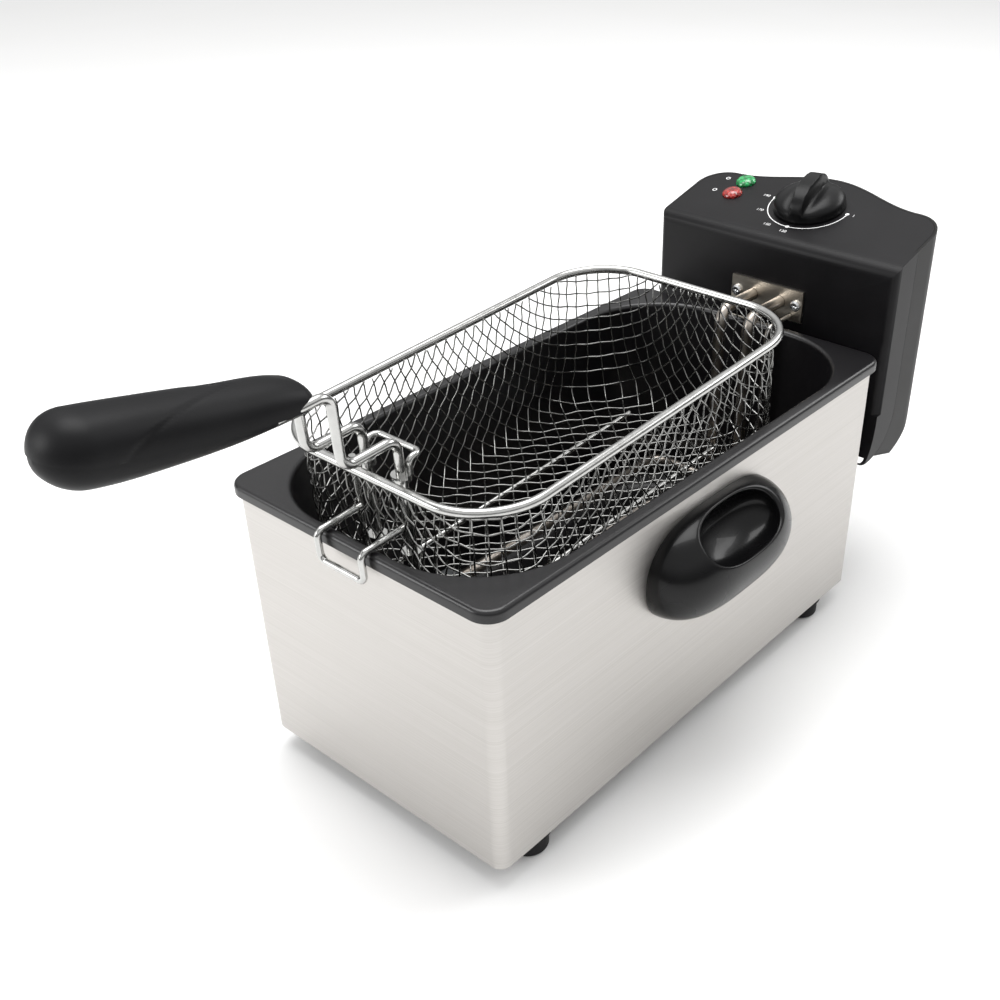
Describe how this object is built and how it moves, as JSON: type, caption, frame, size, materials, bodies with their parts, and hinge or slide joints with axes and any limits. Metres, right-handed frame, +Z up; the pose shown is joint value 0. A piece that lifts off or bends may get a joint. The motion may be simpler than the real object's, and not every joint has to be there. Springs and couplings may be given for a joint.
{
  "type": "deep fryer",
  "caption": "Countertop deep fryer with a steel housing, lift-out oil tank, rear control unit with immersion element, and a wire mesh basket hooked up to drain.",
  "frame": {"origin": "on the table, under the centre of the steel housing's footprint", "axes": "+Z up, +Y from the basket handle towards the control unit, +X to the right seen from the handle end"},
  "size_m": [0.242, 0.582, 0.2928],
  "materials": {
    "stainless_sheet": "brushed",
    "base_moulding": "matt moulded",
    "foot_rubber": "matt",
    "screw_steel": "zinc plated",
    "grip_plastic": "satin gloss moulded",
    "bracket_steel": "galvanised",
    "tank_enamel": "glossy enamel",
    "casing_plastic": "fine satin moulded",
    "casing_plastic_rear": "fine satin moulded",
    "plate_stainless": "brushed",
    "element_sheath": "drawn tube",
    "phenolic": "matt",
    "ceramic_body": "matt",
    "lens_red": "clear gloss",
    "lens_green": "clear gloss",
    "wire_insulation": "satin",
    "gland_rubber": "matt",
    "knob_plastic": "satin moulded",
    "switch_nylon": "matt",
    "basket_chrome": "bright plated wire",
    "handle_plastic": "soft satin moulded"
  },
  "bodies": {
    "housing": {"housing_shell": "stainless_sheet", "base_plate": "base_moulding", "foot_front_left": "foot_rubber", "foot_front_right": "foot_rubber", "foot_rear_left": "foot_rubber", "foot_rear_right": "foot_rubber", "foot_screws": "screw_steel", "side_grip_left": "grip_plastic", "side_grip_right": "grip_plastic", "side_grip_screws": "screw_steel", "hanger_channel": "bracket_steel", "hanger_rivets": "screw_steel", "interlock_key": "base_moulding"},
    "tank": {"oil_tank": "tank_enamel"},
    "control_unit": {"unit_front_shell": "casing_plastic", "unit_rear_shell": "casing_plastic_rear", "unit_screws": "screw_steel", "hanger_tongue": "base_moulding", "element_plate": "plate_stainless", "element_plate_screws": "screw_steel", "heating_element": "element_sheath", "element_clip": "bracket_steel", "sensor_tube": "plate_stainless", "thermostat_body": "phenolic", "thermal_cutout": "phenolic", "terminal_block": "ceramic_body", "interlock_switch": "phenolic", "power_lamp_lens": "lens_red", "ready_lamp_lens": "lens_green", "lamp_holders": "ceramic_body", "wiring_harness": "wire_insulation", "cord_gland": "gland_rubber"},
    "knob": {"temperature_knob": "knob_plastic", "thermostat_shaft": "screw_steel"},
    "reset": {"reset_button": "lens_red"},
    "interlock": {"interlock_plunger": "switch_nylon"},
    "basket": {"basket_rim": "basket_chrome", "basket_mesh": "basket_chrome", "basket_hook": "basket_chrome", "basket_base_wires": "basket_chrome", "handle_bracket": "basket_chrome"},
    "basket_handle": {"handle_wires": "basket_chrome", "handle_grip_upper": "handle_plastic", "handle_grip_lower": "handle_plastic", "handle_screws": "screw_steel"}
  },
  "joints": [
    {"name": "tank_lift", "type": "slide", "parent": "housing", "child": "tank", "axis": [0, 0, 1], "range_m": [0, 0.15]},
    {"name": "unit_lift", "type": "slide", "parent": "tank", "child": "control_unit", "axis": [0, 0, 1], "range_m": [0, 0.04]},
    {"name": "basket_lift", "type": "slide", "parent": "tank", "child": "basket", "axis": [0, 0, 1], "range_m": [0, 0.13]},
    {"name": "handle_lift", "type": "slide", "parent": "basket", "child": "basket_handle", "axis": [0, -0.0541, 0.9985], "range_m": [0, 0.06]},
    {"name": "knob_turn", "type": "hinge", "parent": "control_unit", "child": "knob", "pos_m": [0, 0.232, 0.23924], "axis": [0, -0.2419, 0.9703], "range_deg": [-300, 0]},
    {"name": "reset_press", "type": "slide", "parent": "control_unit", "child": "reset", "axis": [0, -1, 0], "range_m": [0, 0.003], "stiffness_N_per_m": 400, "springref_m": -0.002},
    {"name": "interlock_press", "type": "slide", "parent": "control_unit", "child": "interlock", "axis": [0, 0, 1], "range_m": [0, 0.002], "stiffness_N_per_m": 300, "springref_m": -0.002}
  ]
}
